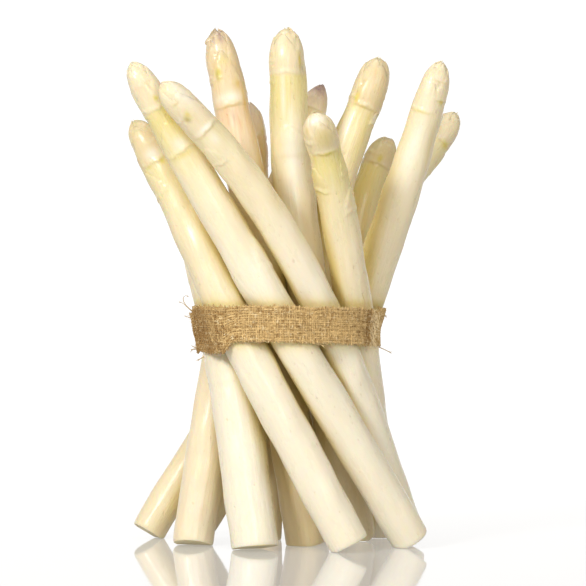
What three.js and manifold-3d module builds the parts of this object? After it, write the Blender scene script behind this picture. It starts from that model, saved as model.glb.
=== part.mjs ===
// A bundle of white asparagus, tied round the waist with a strip of burlap and standing on its cut ends.
// The spears lean round each other like a sheaf: the front ones run up to the left, the back ones up to the right.
// Millimetres, +Z up, -Y towards the viewer. The origin is the centre of the bundle's box, on the table.
import * as THREE from 'three';
import { mergeVertices } from 'three/addons/utils/BufferGeometryUtils.js';
import Module from 'manifold-3d';

const wasm = await Module();
wasm.setup();

// Heights at which the axes are steered
const WAIST_Z = 88;
const SHOULDER_Z = 142;

// Spear shape
const HEAD_LENGTH = 14;
const BODY_REACH = 30;
const BUTT_NARROWING = 0.04;
const BUTT_REACH = 40;
const CUT_EDGE = 0.35;
const REST_DEPTH = 0.45;

// Scale leaves: a spiral of shields whose bases stand out of the stem
const SPIRAL_TURN = THREE.MathUtils.degToRad(137.5);
const SCALE_BASES = [9, 15, 21, 27, 41, 57, 76, 101, 160];
const SCALE_LENGTHS = [9, 12, 14, 15, 15, 14, 13, 12, 8];
const SCALE_HALF_ANGLES = [70, 75, 80, 84, 66, 60, 54, 48, 36].map(THREE.MathUtils.degToRad);
const SCALE_HEIGHT = 0.75;
const SCALE_STEP = 0.7;
// Within this distance of the waist the burlap presses the scales flat
const PRESSED_REACH = 11;

// Burlap band
const BAND_LOW = 82;
const BAND_HIGH = 96;
const BAND_THICKNESS = 1.1;
const BAND_ROWS = 4;
const BAND_COLUMNS = 72;
// The strip's outer end laps over the first turn, from the left side to the front right
const LAP_START = THREE.MathUtils.degToRad(-200);
const LAP_END = THREE.MathUtils.degToRad(-20);
const LAP_STEP = THREE.MathUtils.degToRad(1);
const LAP_LAYERS = 1.6;
// At the left side the strip is bunched and its lower edge hangs lower and stands off the stems
const BUNCH_TURN = THREE.MathUtils.degToRad(-152);
const BUNCH_SPREAD = THREE.MathUtils.degToRad(23);
const BUNCH_DROP = 6;
const BUNCH_STAND = 1.2;
const LEVEL_STEP = 2;

// Gaps between neighbours
const SPEAR_GAP = 0.6;
const BAND_GAP = 0.35;

// Mesh fineness
const SIDES = 14;
const AXIS_SAMPLES = 26;
const LONGEST_ROW = 24;

// Each spear: the places in mm where its axis leaves the table, passes the waist and the shoulder, and ends,
// its radius under the head and in the body, the turn of its lowest head scale in degrees (0 faces the viewer),
// and how far its cut end hangs above the table.
const SPEARS = [
  { name: 'spear_01', butt: [50.3, -14], waist: [-0.5, -30], shoulder: [-31, -37], tip: [-59, -44, 190], neck: 5.9, body: 8.1, turn: 10, lift: 0 },
  { name: 'spear_02', butt: [50.2, 6], waist: [18, -24], shoulder: [-12.5, -40], tip: [-46.5, -55, 181.5], neck: 6.0, body: 7.4, turn: -40, lift: 0 },
  { name: 'spear_03', butt: [25.5, -35], waist: [-18, -25], shoulder: [-43.6, -18], tip: [-58.5, -14, 167.5], neck: 6.2, body: 8.4, turn: -20, lift: 0 },
  { name: 'spear_04', butt: [-11, -29], waist: [-23.8, -10], shoulder: [-39.5, 2], tip: [-48, 9, 158], neck: 6.0, body: 9.8, turn: 60, lift: 0 },
  { name: 'spear_05', butt: [40, 36], waist: [28.5, -10], shoulder: [19.5, -34], tip: [12, -48, 170.4], neck: 6.5, body: 7.4, turn: 0, lift: 0 },
  { name: 'spear_06', butt: [9, -3], waist: [-4, -12], shoulder: [-14, -9], tip: [-27, -4, 206], neck: 6.1, body: 7.8, turn: 25, lift: 0 },
  { name: 'spear_07', butt: [30, 26], waist: [12.5, -8], shoulder: [4, -12], tip: [0.7, -14, 206], neck: 6.6, body: 7.5, turn: 15, lift: 0 },
  { name: 'spear_08', butt: [-35.7, 3], waist: [-21, 6], shoulder: [0, 10], tip: [15, 14, 185.5], neck: 5.9, body: 8.6, turn: -10, lift: 0 },
  { name: 'spear_09', butt: [-37, 22], waist: [8, 8], shoulder: [20.4, 8], tip: [39.2, 10, 196], neck: 6.8, body: 7.5, turn: 35, lift: 0 },
  { name: 'spear_10', butt: [10, 43], waist: [29.6, 8], shoulder: [47.5, 0], tip: [63, -8, 193], neck: 6.6, body: 8.1, turn: 45, lift: 0 },
  { name: 'spear_11', butt: [-56, 30], waist: [-1, 27], shoulder: [45, 37], tip: [72, 45, 175.5], neck: 6.3, body: 7.5, turn: 30, lift: 0 },
  { name: 'spear_12', butt: [-12, 42], waist: [21, 21], shoulder: [34, 26], tip: [43, 34, 165], neck: 6.2, body: 7.4, turn: -25, lift: 0 },
  { name: 'spear_13', butt: [-8, 17], waist: [-10, 18], shoulder: [-12.5, 17], tip: [-13.5, 16, 178], neck: 5.8, body: 7.4, turn: 70, lift: 0 },
];

const SKIN_COLORS = { ivory: 0xf3e8c4, blushed: 0xe9d2b4 };
const BURLAP_COLOR = 0xc09a62;

// The stem's radius at a distance from the tip, without its scale leaves.
function stemRadius(spear, fromTip, length) {
  const fromCut = length - fromTip;
  const grown = 1 - Math.exp(-Math.max(0, fromTip - HEAD_LENGTH * 0.6) / BODY_REACH);
  const drawnIn = BUTT_NARROWING * Math.max(0, 1 - fromCut / BUTT_REACH) ** 2;
  const stem = THREE.MathUtils.lerp(spear.neck, spear.body, grown) * (1 - drawnIn);
  const cutEdge = CUT_EDGE * Math.max(0, 1 - fromCut / 1.5) ** 2;
  const dome = Math.pow(1 - Math.pow(1 - Math.min(1, fromTip / HEAD_LENGTH), 2.2), 0.55);
  return stem * dome - cutEdge;
}

// How far a scale leaf stands out of the stem at a distance from the tip and a turn round the axis.
function scaleRelief(spear, fromTip, turn) {
  let relief = 0;
  SCALE_BASES.forEach((base, k) => {
    const up = (base - fromTip) / SCALE_LENGTHS[k];
    if (up < 0 || up > 1) return;
    const middle = THREE.MathUtils.degToRad(spear.turn) + (SCALE_BASES.length - k) * SPIRAL_TURN;
    const away = Math.abs(Math.atan2(Math.sin(turn - middle), Math.cos(turn - middle)));
    const halfWidth = SCALE_HALF_ANGLES[k] * Math.pow(1 - up, 0.6);
    if (away >= halfWidth) return;
    relief = Math.max(relief, SCALE_HEIGHT * (1 - 0.55 * up) * Math.sqrt(1 - (away / halfWidth) ** 2));
  });
  return relief;
}

// A spear's axis as a smooth curve from the middle of its cut end to its tip.
function axisOf(spear) {
  const lean = new THREE.Vector3(
    spear.waist[0] - spear.butt[0], spear.waist[1] - spear.butt[1], WAIST_Z).normalize();
  const sine = Math.hypot(lean.x, lean.y);
  const cutRadius = spear.body * (1 - BUTT_NARROWING);
  return new THREE.CatmullRomCurve3([
    new THREE.Vector3(spear.butt[0], spear.butt[1], (cutRadius - CUT_EDGE) * sine - REST_DEPTH + spear.lift),
    new THREE.Vector3(spear.waist[0], spear.waist[1], WAIST_Z),
    new THREE.Vector3(spear.shoulder[0], spear.shoulder[1], SHOULDER_Z),
    new THREE.Vector3(spear.tip[0], spear.tip[1], spear.tip[2]),
  ]);
}

// Lays the spears against each other: wherever two stems press into each other, their steering points give way.
const STEERED = ['butt', 'waist', 'shoulder', 'tip'];
const SETTLE_ROUNDS = 500;
const FREE_ROUNDS = 200;
const YIELD = 0.4;
const YIELD_ACROSS = 0.35;
const PULL_ACROSS = 0.03;
const PULL_IN_DEPTH = 0.006;

function sampleSpear(spear) {
  const axis = axisOf(spear);
  const length = axis.getLength();
  return Array.from({ length: AXIS_SAMPLES }, (_, i) => {
    const along = i / (AXIS_SAMPLES - 1);
    const fromTip = length * (1 - along);
    const standing = fromTip > 6 && fromTip < 110 ? SCALE_HEIGHT * 0.5 : 0;
    return { at: axis.getPoint(along), along, radius: stemRadius(spear, fromTip, length) + standing };
  });
}

function giveWay(spear, along, across, inDepth) {
  STEERED.forEach((place, k) => {
    const share = Math.max(0, 1 - Math.abs(along * (STEERED.length - 1) - k));
    spear[place][0] += across * share;
    spear[place][1] += inDepth * share;
  });
}

// The place on a row of samples nearest to a point, where two stems press deepest into each other.
function deepestPress(sample, row) {
  const piece = new THREE.Line3();
  const near = new THREE.Vector3();
  let deepest = null;
  for (let k = 0; k + 1 < row.length; k++) {
    const reach = sample.radius + row[k].radius + SPEAR_GAP;
    if (Math.abs(row[k].at.z - sample.at.z) > reach + 10) continue;
    piece.set(row[k].at, row[k + 1].at);
    const share = piece.closestPointToPointParameter(sample.at, true);
    piece.at(share, near);
    const overlap = reach - near.distanceTo(sample.at);
    if (overlap <= 0 || (deepest && overlap <= deepest.overlap)) continue;
    const along = THREE.MathUtils.lerp(row[k].along, row[k + 1].along, share);
    deepest = { overlap, along, across: sample.at.x - near.x, inDepth: sample.at.y - near.y };
  }
  return deepest;
}

function settle(spears) {
  const wanted = spears.map((spear) => STEERED.map((place) => [...spear[place]]));
  for (let round = 0; round < SETTLE_ROUNDS; round++) {
    const rows = spears.map(sampleSpear);
    rows.forEach((row, i) => rows.forEach((other, j) => {
      if (i === j) return;
      for (const sample of row) {
        const press = deepestPress(sample, other);
        if (!press) continue;
        const push = press.overlap * YIELD * 0.5 / Math.hypot(press.across, press.inDepth);
        const across = press.across * push * YIELD_ACROSS;
        const inDepth = press.inDepth * push;
        giveWay(spears[i], sample.along, across, inDepth);
        giveWay(spears[j], press.along, -across, -inDepth);
      }
    }));
    if (round >= SETTLE_ROUNDS - FREE_ROUNDS) continue;
    spears.forEach((spear, i) => STEERED.forEach((place, k) => {
      spear[place][0] += (wanted[i][k][0] - spear[place][0]) * PULL_ACROSS;
      spear[place][1] += (wanted[i][k][1] - spear[place][1]) * PULL_IN_DEPTH;
    }));
  }
}

// The distances from the tip at which a spear gets a ring of vertices.
function ringPlaces(length) {
  const places = [1.2, 3.6, 7, length - 1.6, length];
  SCALE_BASES.forEach((base, k) => {
    places.push(base, base + SCALE_STEP);
    if (base > HEAD_LENGTH) places.push(base - SCALE_LENGTHS[k] * 0.45, base - SCALE_LENGTHS[k] * 0.9);
  });
  places.sort((a, b) => a - b);
  const spaced = [places[0]];
  for (const place of places.slice(1)) {
    const last = spaced[spaced.length - 1];
    const steps = Math.ceil((place - last) / LONGEST_ROW);
    for (let k = 1; k < steps; k++) spaced.push(last + (place - last) * k / steps);
    if (place - last > SCALE_STEP * 0.9) spaced.push(place);
  }
  return spaced;
}

function solidFrom(geometry) {
  geometry.deleteAttribute('normal');
  geometry.deleteAttribute('uv');
  const merged = mergeVertices(geometry, 1e-4);
  return new wasm.Manifold(new wasm.Mesh({
    numProp: 3,
    vertProperties: new Float32Array(merged.getAttribute('position').array),
    triVerts: new Uint32Array(merged.getIndex().array),
  }));
}

function meshFrom(name, solid, color, roughness) {
  const { vertProperties, triVerts } = solid.getMesh();
  const geometry = new THREE.BufferGeometry();
  geometry.setAttribute('position', new THREE.BufferAttribute(new Float32Array(vertProperties), 3));
  geometry.setIndex(new THREE.BufferAttribute(new Uint32Array(triVerts), 1));
  geometry.computeVertexNormals();
  const mesh = new THREE.Mesh(geometry, new THREE.MeshStandardMaterial({ color, roughness, metalness: 0 }));
  mesh.name = name;
  return mesh;
}

// A spear is a sphere drawn out along its axis: one pole is the tip, the other the middle of the cut end.
function spearSolid(spear) {
  const axis = axisOf(spear);
  const length = axis.getLength();
  const places = ringPlaces(length);
  const rows = places.length + 1;
  const geometry = new THREE.SphereGeometry(1, SIDES, rows);
  const position = geometry.getAttribute('position');
  const uv = geometry.getAttribute('uv');
  const viewer = new THREE.Vector3(0, -1, 0);
  for (let i = 0; i < position.count; i++) {
    const row = Math.round((1 - uv.getY(i)) * rows);
    const turn = (uv.getX(i) * SIDES % SIDES) / SIDES * 2 * Math.PI;
    const fromTip = row === 0 ? 0 : places[Math.min(row, places.length) - 1];
    const along = 1 - fromTip / length;
    const at = axis.getPointAt(along);
    const tangent = axis.getTangentAt(along);
    const front = viewer.clone().addScaledVector(tangent, -viewer.dot(tangent)).normalize();
    const side = new THREE.Vector3().crossVectors(tangent, front);
    const onPole = row === 0 || row === rows;
    const free = THREE.MathUtils.smoothstep(Math.abs(at.z - WAIST_Z), PRESSED_REACH, PRESSED_REACH + 6);
    const relief = scaleRelief(spear, fromTip, turn) * free;
    const radius = onPole ? 0 : stemRadius(spear, fromTip, length) + relief;
    at.addScaledVector(front, radius * Math.cos(turn)).addScaledVector(side, radius * Math.sin(turn));
    position.setXYZ(i, at.x, at.y, at.z);
  }
  const solid = solidFrom(geometry);
  return solid.volume() < 0 ? solidFrom(flipped(geometry)) : solid;
}

function flipped(geometry) {
  const index = geometry.getIndex().array;
  for (let i = 0; i < index.length; i += 3) [index[i + 1], index[i + 2]] = [index[i + 2], index[i + 1]];
  return geometry;
}

// The table takes a sliver off each cut end, so every spear rests on a small flat.
function restOnTable(solid) {
  const below = new THREE.BoxGeometry(400, 400, 20).translate(0, 0, -10);
  return solid.subtract(solidFrom(below));
}

// The point of an axis at a height.
function axisAtHeight(axis, z) {
  let low = 0;
  let high = 1;
  for (let k = 0; k < 30; k++) {
    const middle = (low + high) / 2;
    if (axis.getPoint(middle).z < z) low = middle;
    else high = middle;
  }
  return low;
}

// How far the taut band stands from the bundle's middle: the smallest convex outline round the stems at a height.
function tautOutline(spears, z) {
  const facings = Array.from({ length: BAND_COLUMNS }, (_, j) => j / BAND_COLUMNS * 2 * Math.PI);
  const support = facings.map(() => 0);
  for (const spear of spears) {
    const axis = axisOf(spear);
    const along = axisAtHeight(axis, z);
    const at = axis.getPoint(along);
    const tangent = axis.getTangent(along);
    const radius = stemRadius(spear, axis.getLength() * (1 - along), axis.getLength());
    facings.forEach((turn, j) => {
      const outward = new THREE.Vector3(Math.cos(turn), Math.sin(turn), 0);
      const stretched = Math.hypot(1, outward.dot(tangent) / tangent.z);
      support[j] = Math.max(support[j], at.x * outward.x + at.y * outward.y + radius * stretched);
    });
  }
  return (turn) => facings.reduce((nearest, facing, j) => {
    const cosine = Math.cos(turn - facing);
    return cosine > 0.3 ? Math.min(nearest, support[j] / cosine) : nearest;
  }, Infinity);
}

// The taut outline at any height, as the wider of the two nearest levels.
function outlineLevels(spears) {
  const lowest = BAND_LOW - BUNCH_DROP;
  const count = Math.ceil((BAND_HIGH - lowest) / LEVEL_STEP) + 1;
  const levels = Array.from({ length: count }, (_, k) => tautOutline(spears, lowest + k * LEVEL_STEP));
  return (turn, z) => {
    const k = Math.min(count - 2, Math.floor((z - lowest) / LEVEL_STEP));
    return Math.max(levels[k](turn), levels[k + 1](turn));
  };
}

function bunched(turn) {
  const away = Math.atan2(Math.sin(turn - BUNCH_TURN), Math.cos(turn - BUNCH_TURN));
  return Math.exp(-((away / BUNCH_SPREAD) ** 2));
}

// The turns of the band's columns: evenly spaced, with one more just past each end of the lap for its step.
function bandTurns() {
  const turns = Array.from({ length: BAND_COLUMNS }, (_, k) => LAP_END - k / BAND_COLUMNS * 2 * Math.PI);
  turns.push(LAP_END + LAP_STEP, LAP_START - LAP_STEP);
  return turns.map((turn) => THREE.MathUtils.euclideanModulo(turn, 2 * Math.PI)).sort((a, b) => a - b);
}

function lapped(turn) {
  const past = THREE.MathUtils.euclideanModulo(turn - LAP_START, 2 * Math.PI);
  return past < LAP_END - LAP_START + LAP_STEP * 0.5 || past > 2 * Math.PI - LAP_STEP * 0.5;
}

// The band is a torus whose cross-section is pressed flat against the outline: up its outside, down its inside.
function bandSolid(spears) {
  const reachAt = outlineLevels(spears);
  const turns = bandTurns();
  const around = 2 * BAND_ROWS + 2;
  const geometry = new THREE.TorusGeometry(1, 0.1, around, turns.length);
  const position = geometry.getAttribute('position');
  const uv = geometry.getAttribute('uv');
  for (let i = 0; i < position.count; i++) {
    const turn = turns[Math.round(uv.getX(i) * turns.length) % turns.length];
    const step = Math.round(uv.getY(i) * around) % around;
    const outside = step <= BAND_ROWS;
    const row = outside ? step : around - 1 - step;
    const hang = bunched(turn) * (1 - row / BAND_ROWS);
    const z = BAND_LOW - BUNCH_DROP * hang + (BAND_HIGH - BAND_LOW) * row / BAND_ROWS;
    const thickness = BAND_THICKNESS * (lapped(turn) ? LAP_LAYERS : 1);
    const radius = reachAt(turn, z) + BAND_GAP + BUNCH_STAND * hang + (outside ? thickness : 0);
    position.setXYZ(i, radius * Math.cos(turn), radius * Math.sin(turn), z);
  }
  const solid = solidFrom(geometry);
  return solid.volume() < 0 ? solidFrom(flipped(geometry)) : solid;
}

settle(SPEARS);
const bundle = new THREE.Group();
SPEARS.forEach((spear, i) => {
  const skin = [5, 7, 12].includes(i) ? SKIN_COLORS.blushed : SKIN_COLORS.ivory;
  bundle.add(meshFrom(spear.name, restOnTable(spearSolid(spear)), skin, 0.45));
});
bundle.add(meshFrom('burlap_band', bandSolid(SPEARS), BURLAP_COLOR, 0.95));

const box = new THREE.Box3().setFromObject(bundle);
bundle.position.set(-(box.min.x + box.max.x) / 2, -(box.min.y + box.max.y) / 2, 0);

export default bundle;
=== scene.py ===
import math

import bmesh
import bpy
import numpy as np
from mathutils import Matrix, Vector
from mathutils.bvhtree import BVHTree


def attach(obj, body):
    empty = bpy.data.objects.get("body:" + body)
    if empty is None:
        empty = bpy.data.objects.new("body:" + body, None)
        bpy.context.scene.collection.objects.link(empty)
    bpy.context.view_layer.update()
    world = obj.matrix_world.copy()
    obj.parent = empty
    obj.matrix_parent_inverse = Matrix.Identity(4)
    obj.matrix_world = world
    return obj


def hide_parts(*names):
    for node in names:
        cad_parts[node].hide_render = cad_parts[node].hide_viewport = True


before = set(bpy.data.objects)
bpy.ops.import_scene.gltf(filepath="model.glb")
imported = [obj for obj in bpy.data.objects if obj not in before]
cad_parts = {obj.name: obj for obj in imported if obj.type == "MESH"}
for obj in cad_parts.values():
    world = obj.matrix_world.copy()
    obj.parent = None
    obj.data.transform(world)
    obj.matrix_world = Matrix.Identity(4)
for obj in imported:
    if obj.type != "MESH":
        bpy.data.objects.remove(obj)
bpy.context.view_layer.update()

MM = 0.001

# --- the spears, as in the part's source: sizes in millimetres, turns in degrees (0 faces the viewer) ---
HEAD_LENGTH = 14.0
BODY_REACH = 30.0
BUTT_NARROWING = 0.04
BUTT_REACH = 40.0
CUT_EDGE = 0.35
SPIRAL_TURN = 137.5
SCALE_BASES = [9, 15, 21, 27, 41, 57, 76, 101, 160]
SCALE_LENGTHS = [9, 12, 14, 15, 15, 14, 13, 12, 8]
SCALE_HALF_ANGLES = [70, 75, 80, 84, 66, 60, 54, 48, 36]
TIP_BASES = [3.2, 4.8, 6.6]
TIP_LENGTHS = [4.0, 5.2, 6.8]
TIP_HALF_ANGLES = [60, 64, 66]
WAIST_Z = 88.0
PRESSED_REACH = 11.0
BUTT_FLAT_ROWS = [0.985, 0.93, 0.8, 0.6, 0.35, 0.15]

# Each spear: blunt, how square its tip is; pinch, the share by which it narrows under its head; neck and
# body radius; reach, how far its tip passes the node's; shade, how strongly painted golden shade shows where
# others stand close; pale, how white its lower stem is, or, where negative, how much painted tan shade its
# foot takes; turn of the lowest scale; head, how far down its head reaches; and how strongly it shows lemon
# under its head, pink blush, a purple tip, a warm tan cast and a frayed tip.
# leaves: base, length, half angle, turn, strength.
# patches: tint, place, turn, reach along, reach round, strength.
# Cream patches are painted highlights and brown patches painted shade.
COMMON = dict(pinch=0.0, reach=0.0, shade=1.0, blush=0.0, purple=0.0)
SPEARS = {
    "spear_01": dict(
        blunt=3.0, pinch=0.02, neck=5.5, body=8.1, pale=0.8,
        turn=10, head=19.5, lemon=1.0, tan=0.0, fray=0.3,
        leaves=[(19.5, 17, 80, -40, 1.0), (16.5, 12, 62, 72, 1.0), (9, 8, 60, -8, 0.8),
                (39, 13, 72, 0, 1.3), (95, 14, 42, 62, 1.7)],
        patches=[("lime", 16.2, 14, 1.1, 9, 1.0), ("lime", 19, 30, 2.2, 14, 0.6),
                 ("cream", 36, 8, 2.6, 22, 0.8), ("lime", 40.6, -8, 1.2, 40, 0.5),
                 ("lime", 29, 50, 6, 16, 0.5), ("blush", 10, -20, 4, 30, 0.25)]),
    "spear_02": dict(
        blunt=2.8, neck=6.0, body=7.4, pale=1.0,
        turn=-40, head=24, lemon=0.3, tan=0.12, fray=0.15,
        leaves=[(24, 18, 70, 12, 1.3), (15.5, 14, 75, -58, 1.0), (10, 9, 60, 60, 0.6),
                (38, 9, 45, -48, 1.0)],
        patches=[("brown", 8.6, -14, 0.5, 16, 0.6), ("brown", 15.8, -22, 1.3, 9, 0.9),
                 ("lime", 14.6, -8, 1.6, 8, 0.8), ("olive", 15.6, -20, 1.4, 7, 1.0),
                 ("cream", 23, 5, 1.2, 32, 0.8), ("cream", 8, 34, 6, 30, 0.7),
                 ("cream", 28.5, 5, 3, 16, 0.6), ("brown", 24.6, 8, 0.4, 36, 0.5)]),
    "spear_03": dict(
        blunt=2.6, neck=6.2, body=8.4, reach=1.9, pale=1.0,
        turn=-20, head=19.5, lemon=0.5, tan=0.5, fray=0.15,
        leaves=[(19.5, 16, 75, -10, 1.2), (12, 10, 60, 50, 0.7), (8, 8, 60, -50, 0.8),
                (33, 12, 60, -70, 1.2), (47, 12, 45, 68, 1.5), (124, 22, 30, -52, 1.4)],
        patches=[("cream", 16.5, -5, 2.6, 26, 0.8), ("lime", 21, 15, 1.4, 9, 1.0),
                 ("tan", 8, -30, 4, 30, 0.5), ("lime", 20.5, -40, 0.8, 20, 0.5)]),
    "spear_04": dict(
        blunt=2.2, neck=6.0, body=9.8, pale=1.0,
        turn=60, head=20, lemon=0.4, tan=0.1, fray=0.2,
        leaves=[(20, 17, 80, 10, 1.0), (13, 11, 60, 70, 0.8), (11, 10, 60, -60, 0.8)],
        patches=[("lime", 20.5, -30, 1.2, 14, 0.7)]),
    "spear_05": dict(
        blunt=3.1, pinch=0.08, neck=6.5, body=7.7, pale=0.6,
        turn=0, head=14.5, lemon=1.0, tan=0.3, fray=0.2,
        leaves=[(15, 12.5, 66, 8, 1.2), (10, 9, 55, -72, 1.6), (11, 9, 50, 84, 1.0),
                (31, 10, 50, -62, 1.7), (42, 10, 46, 62, 1.6)],
        patches=[("cream", 1.4, 0, 1.5, 60, 0.9), ("tan", 8.5, 8, 5.5, 44, 1.0),
                 ("olive", 9, 12, 4.5, 40, 0.5), ("brown", 3.0, 10, 0.8, 7, 0.6),
                 ("tan", 5, -55, 2.4, 14, 0.9), ("lime", 15.2, 8, 0.8, 26, 0.9),
                 ("brown", 15.3, 4, 0.5, 34, 0.6), ("lime", 31.8, -56, 1.0, 16, 0.5)]),
    "spear_06": dict(
        blunt=3.0, pinch=0.03, neck=5.8, body=8.6, pale=-0.9,
        turn=25, head=31.5, lemon=0.1, blush=0.6, purple=0.45, tan=0.35, fray=1.0,
        leaves=[(31.5, 22, 75, 0, 1.2), (20, 17, 60, -62, 1.3), (23, 22, 55, 62, 1.2),
                (11, 10, 55, 0, 0.9), (4.2, 4.8, 26, -72, 4.5), (3.4, 4.0, 30, -20, 3.0)],
        patches=[("olive", 0.6, -60, 1.8, 60, 1.0), ("purple", 3.5, 12, 3.0, 14, 0.9),
                 ("purple", 4.5, -22, 3.0, 8, 0.6), ("lime", 13.5, 0, 2.2, 20, 0.5),
                 ("lime", 18.2, -20, 2.4, 10, 1.0), ("olive", 18.8, -22, 2.0, 9, 1.0),
                 ("brown", 19, -27, 2.0, 4, 0.9), ("orange", 23.5, 35, 2.4, 9, 1.0),
                 ("orange", 30, 50, 7, 7, 1.0), ("cream", 28.6, 0, 2.2, 48, 0.9),
                 ("brown", 32.2, 0, 0.4, 60, 0.5), ("blush", 38, -18, 6, 7, 0.9),
                 ("blush", 39, 16, 6, 6, 0.8), ("purple", 37, 2, 3, 6, 0.35)]),
    "spear_07": dict(
        blunt=2.4, neck=6.8, body=8.6, shade=0.5, pale=-0.3,
        turn=15, head=17.8, lemon=1.0, tan=0.2, fray=0.7,
        leaves=[(17.8, 15, 85, -20, 0.7), (14, 11.5, 45, 72, 1.1), (13, 10, 45, -84, 1.2),
                (50, 12, 70, -5, 0.9), (3.6, 3.4, 24, 60, 2.6), (3, 3.2, 34, -10, 2.0)],
        patches=[("blush", 1.8, 62, 1.2, 16, 0.5), ("lime", 13, 45, 2.2, 6, 1.0),
                 ("brown", 15.5, 46, 2.6, 3, 0.7), ("cream", 27, -15, 9, 7, 0.7),
                 ("olive", 28, -56, 14, 12, 0.7), ("cream", 52, 5, 17, 26, 1.0),
                 ("brown", 50.4, -5, 0.5, 60, 0.5), ("olive", 46, -60, 9, 8, 0.6)]),
    "spear_08": dict(
        blunt=1.8, pinch=0.06, neck=5.9, body=8.6, shade=0.5, pale=-0.2,
        turn=-10, head=11.5, lemon=0.7, purple=1.0, tan=0.0, fray=0.3,
        leaves=[(11.5, 11, 60, -42, 1.2), (12.5, 12, 60, 48, 1.2), (7, 7, 60, 0, 0.8)],
        patches=[("purple", 2.6, -22, 2.0, 50, 1.0), ("brown", 11.9, 0, 0.5, 50, 0.6)]),
    "spear_09": dict(
        blunt=2.7, pinch=0.05, neck=6.8, body=7.5, pale=-0.5,
        turn=35, head=21, lemon=0.6, tan=0.4, fray=0.3,
        leaves=[(21, 18, 70, 22, 1.2), (19, 15, 45, -72, 1.3), (11, 10, 50, -10, 0.6),
                (12, 11, 50, 75, 0.6), (26, 5, 18, 62, 2.2)],
        patches=[("lime", 18.6, -32, 3.0, 9, 1.0), ("orange", 18.2, -28, 2.2, 5, 0.8),
                 ("brown", 21.5, 12, 0.5, 40, 0.7), ("blush", 9, 0, 6, 5, 0.3),
                 ("blush", 10, 30, 6, 5, 0.25), ("cream", 24.5, 60, 2.4, 10, 0.9),
                 ("cream", 32, -35, 9, 20, 0.7), ("lime", 36, 30, 10, 12, 0.35)]),
    "spear_10": dict(
        blunt=2.4, neck=5.8, body=8.1, pale=-0.5,
        turn=45, head=20.3, lemon=0.25, tan=0.05, fray=0.5,
        leaves=[(20.3, 17, 62, -32, 0.8), (14.8, 12, 55, 62, 1.1), (8, 7.5, 55, 20, 0.8),
                (9, 8, 55, -70, 0.8)],
        patches=[("brown", 7.6, 12, 0.45, 34, 0.6), ("brown", 11, -6, 2.6, 3, 0.5),
                 ("brown", 14.9, 38, 0.5, 20, 0.7), ("lime", 15.2, 44, 1.0, 10, 0.9),
                 ("lime", 20.6, -22, 0.6, 40, 0.6), ("cream", 34, -10, 13, 28, 0.9),
                 ("tan", 33, 48, 8, 9, 0.5)]),
    "spear_11": dict(
        blunt=2.4, neck=6.3, body=7.5, shade=0.8, pale=-0.25,
        turn=30, head=14.5, lemon=0.5, tan=0.2, fray=0.3,
        leaves=[(14.5, 13, 75, 30, 1.0), (10, 9, 60, -50, 0.9)],
        patches=[("lime", 14.8, 40, 1.6, 22, 0.9), ("brown", 15, 30, 0.4, 30, 0.5)]),
    "spear_12": dict(
        blunt=2.4, pinch=0.06, neck=6.2, body=7.4, shade=0.6, pale=-0.9,
        turn=-25, head=15.5, lemon=1.0, purple=0.05, tan=0.5, fray=0.5,
        leaves=[(15.5, 13, 70, 20, 1.4), (12, 11, 60, -58, 1.4), (7, 7, 55, 20, 1.0)],
        patches=[("lime", 13.6, 0, 1.8, 9, 0.9), ("olive", 7, -40, 4, 22, 0.8),
                 ("brown", 15.9, 0, 0.5, 50, 0.8)]),
    "spear_13": dict(
        blunt=2.0, neck=5.8, body=7.4, shade=0.0, pale=-1.0,
        turn=70, head=12, lemon=0.2, blush=0.9, purple=0.25, tan=0.0, fray=0.4,
        leaves=[(12, 11, 60, 20, 1.2), (9, 8, 60, -40, 1.0), (26, 12, 60, 60, 1.0)],
        patches=[("orange", 22, 30, 9, 30, 1.0), ("lime", 11, 50, 1.2, 10, 0.7)]),
}

BLUSHED = ("spear_06", "spear_08", "spear_13")
FREE_LEAF_BASE = 34  # scale leaves nearer the tip than this also have a flap that stands free
BAND_MIDDLE = 89
SIDES_AROUND = 72
BATCH = 4000
VIEWER = np.array([0.0, -1.0, 0.0])


def smoothstep(x, low, high):
    t = np.clip((x - low) / (high - low), 0, 1)
    return t * t * (3 - 2 * t)


def unit(v):
    return v / np.maximum(np.linalg.norm(v, axis=-1, keepdims=True), 1e-12)


# --- reading a spear's axis from its CAD node ---

def node_triangles(node):
    mesh = node.data
    mesh.calc_loop_triangles()
    points = np.empty(len(mesh.vertices) * 3, np.float32)
    mesh.vertices.foreach_get("co", points)
    corners = np.empty(len(mesh.loop_triangles) * 3, np.int32)
    mesh.loop_triangles.foreach_get("vertices", corners)
    return points.reshape(-1, 3).astype(float)[corners].reshape(-1, 3, 3) / MM


def section_centre(triangles, at, normal):
    """The centre of the node's cross-section in a plane."""
    side = (triangles - at) @ normal
    ends = []
    for a, b in ((0, 1), (1, 2), (2, 0)):
        crosses = (side[:, a] > 0) != (side[:, b] > 0)
        share = np.where(crosses, side[:, a] / np.where(crosses, side[:, a] - side[:, b], 1), 0)
        point = triangles[:, a] + (triangles[:, b] - triangles[:, a]) * share[:, None]
        ends.append(np.where(crosses[:, None], point, np.nan))
    ends = np.stack(ends, 1)
    cut = (~np.isnan(ends[:, :, 0])).sum(1) == 2
    ends = ends[cut]
    pairs = ends[~np.isnan(ends[:, :, 0])].reshape(-1, 2, 3)
    middle = pairs.reshape(-1, 3).mean(0)
    wedge = np.linalg.norm(np.cross(pairs[:, 0] - middle, pairs[:, 1] - middle), axis=1)
    return ((pairs.sum(1) + middle) / 3 * wedge[:, None]).sum(0) / wedge.sum()


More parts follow.
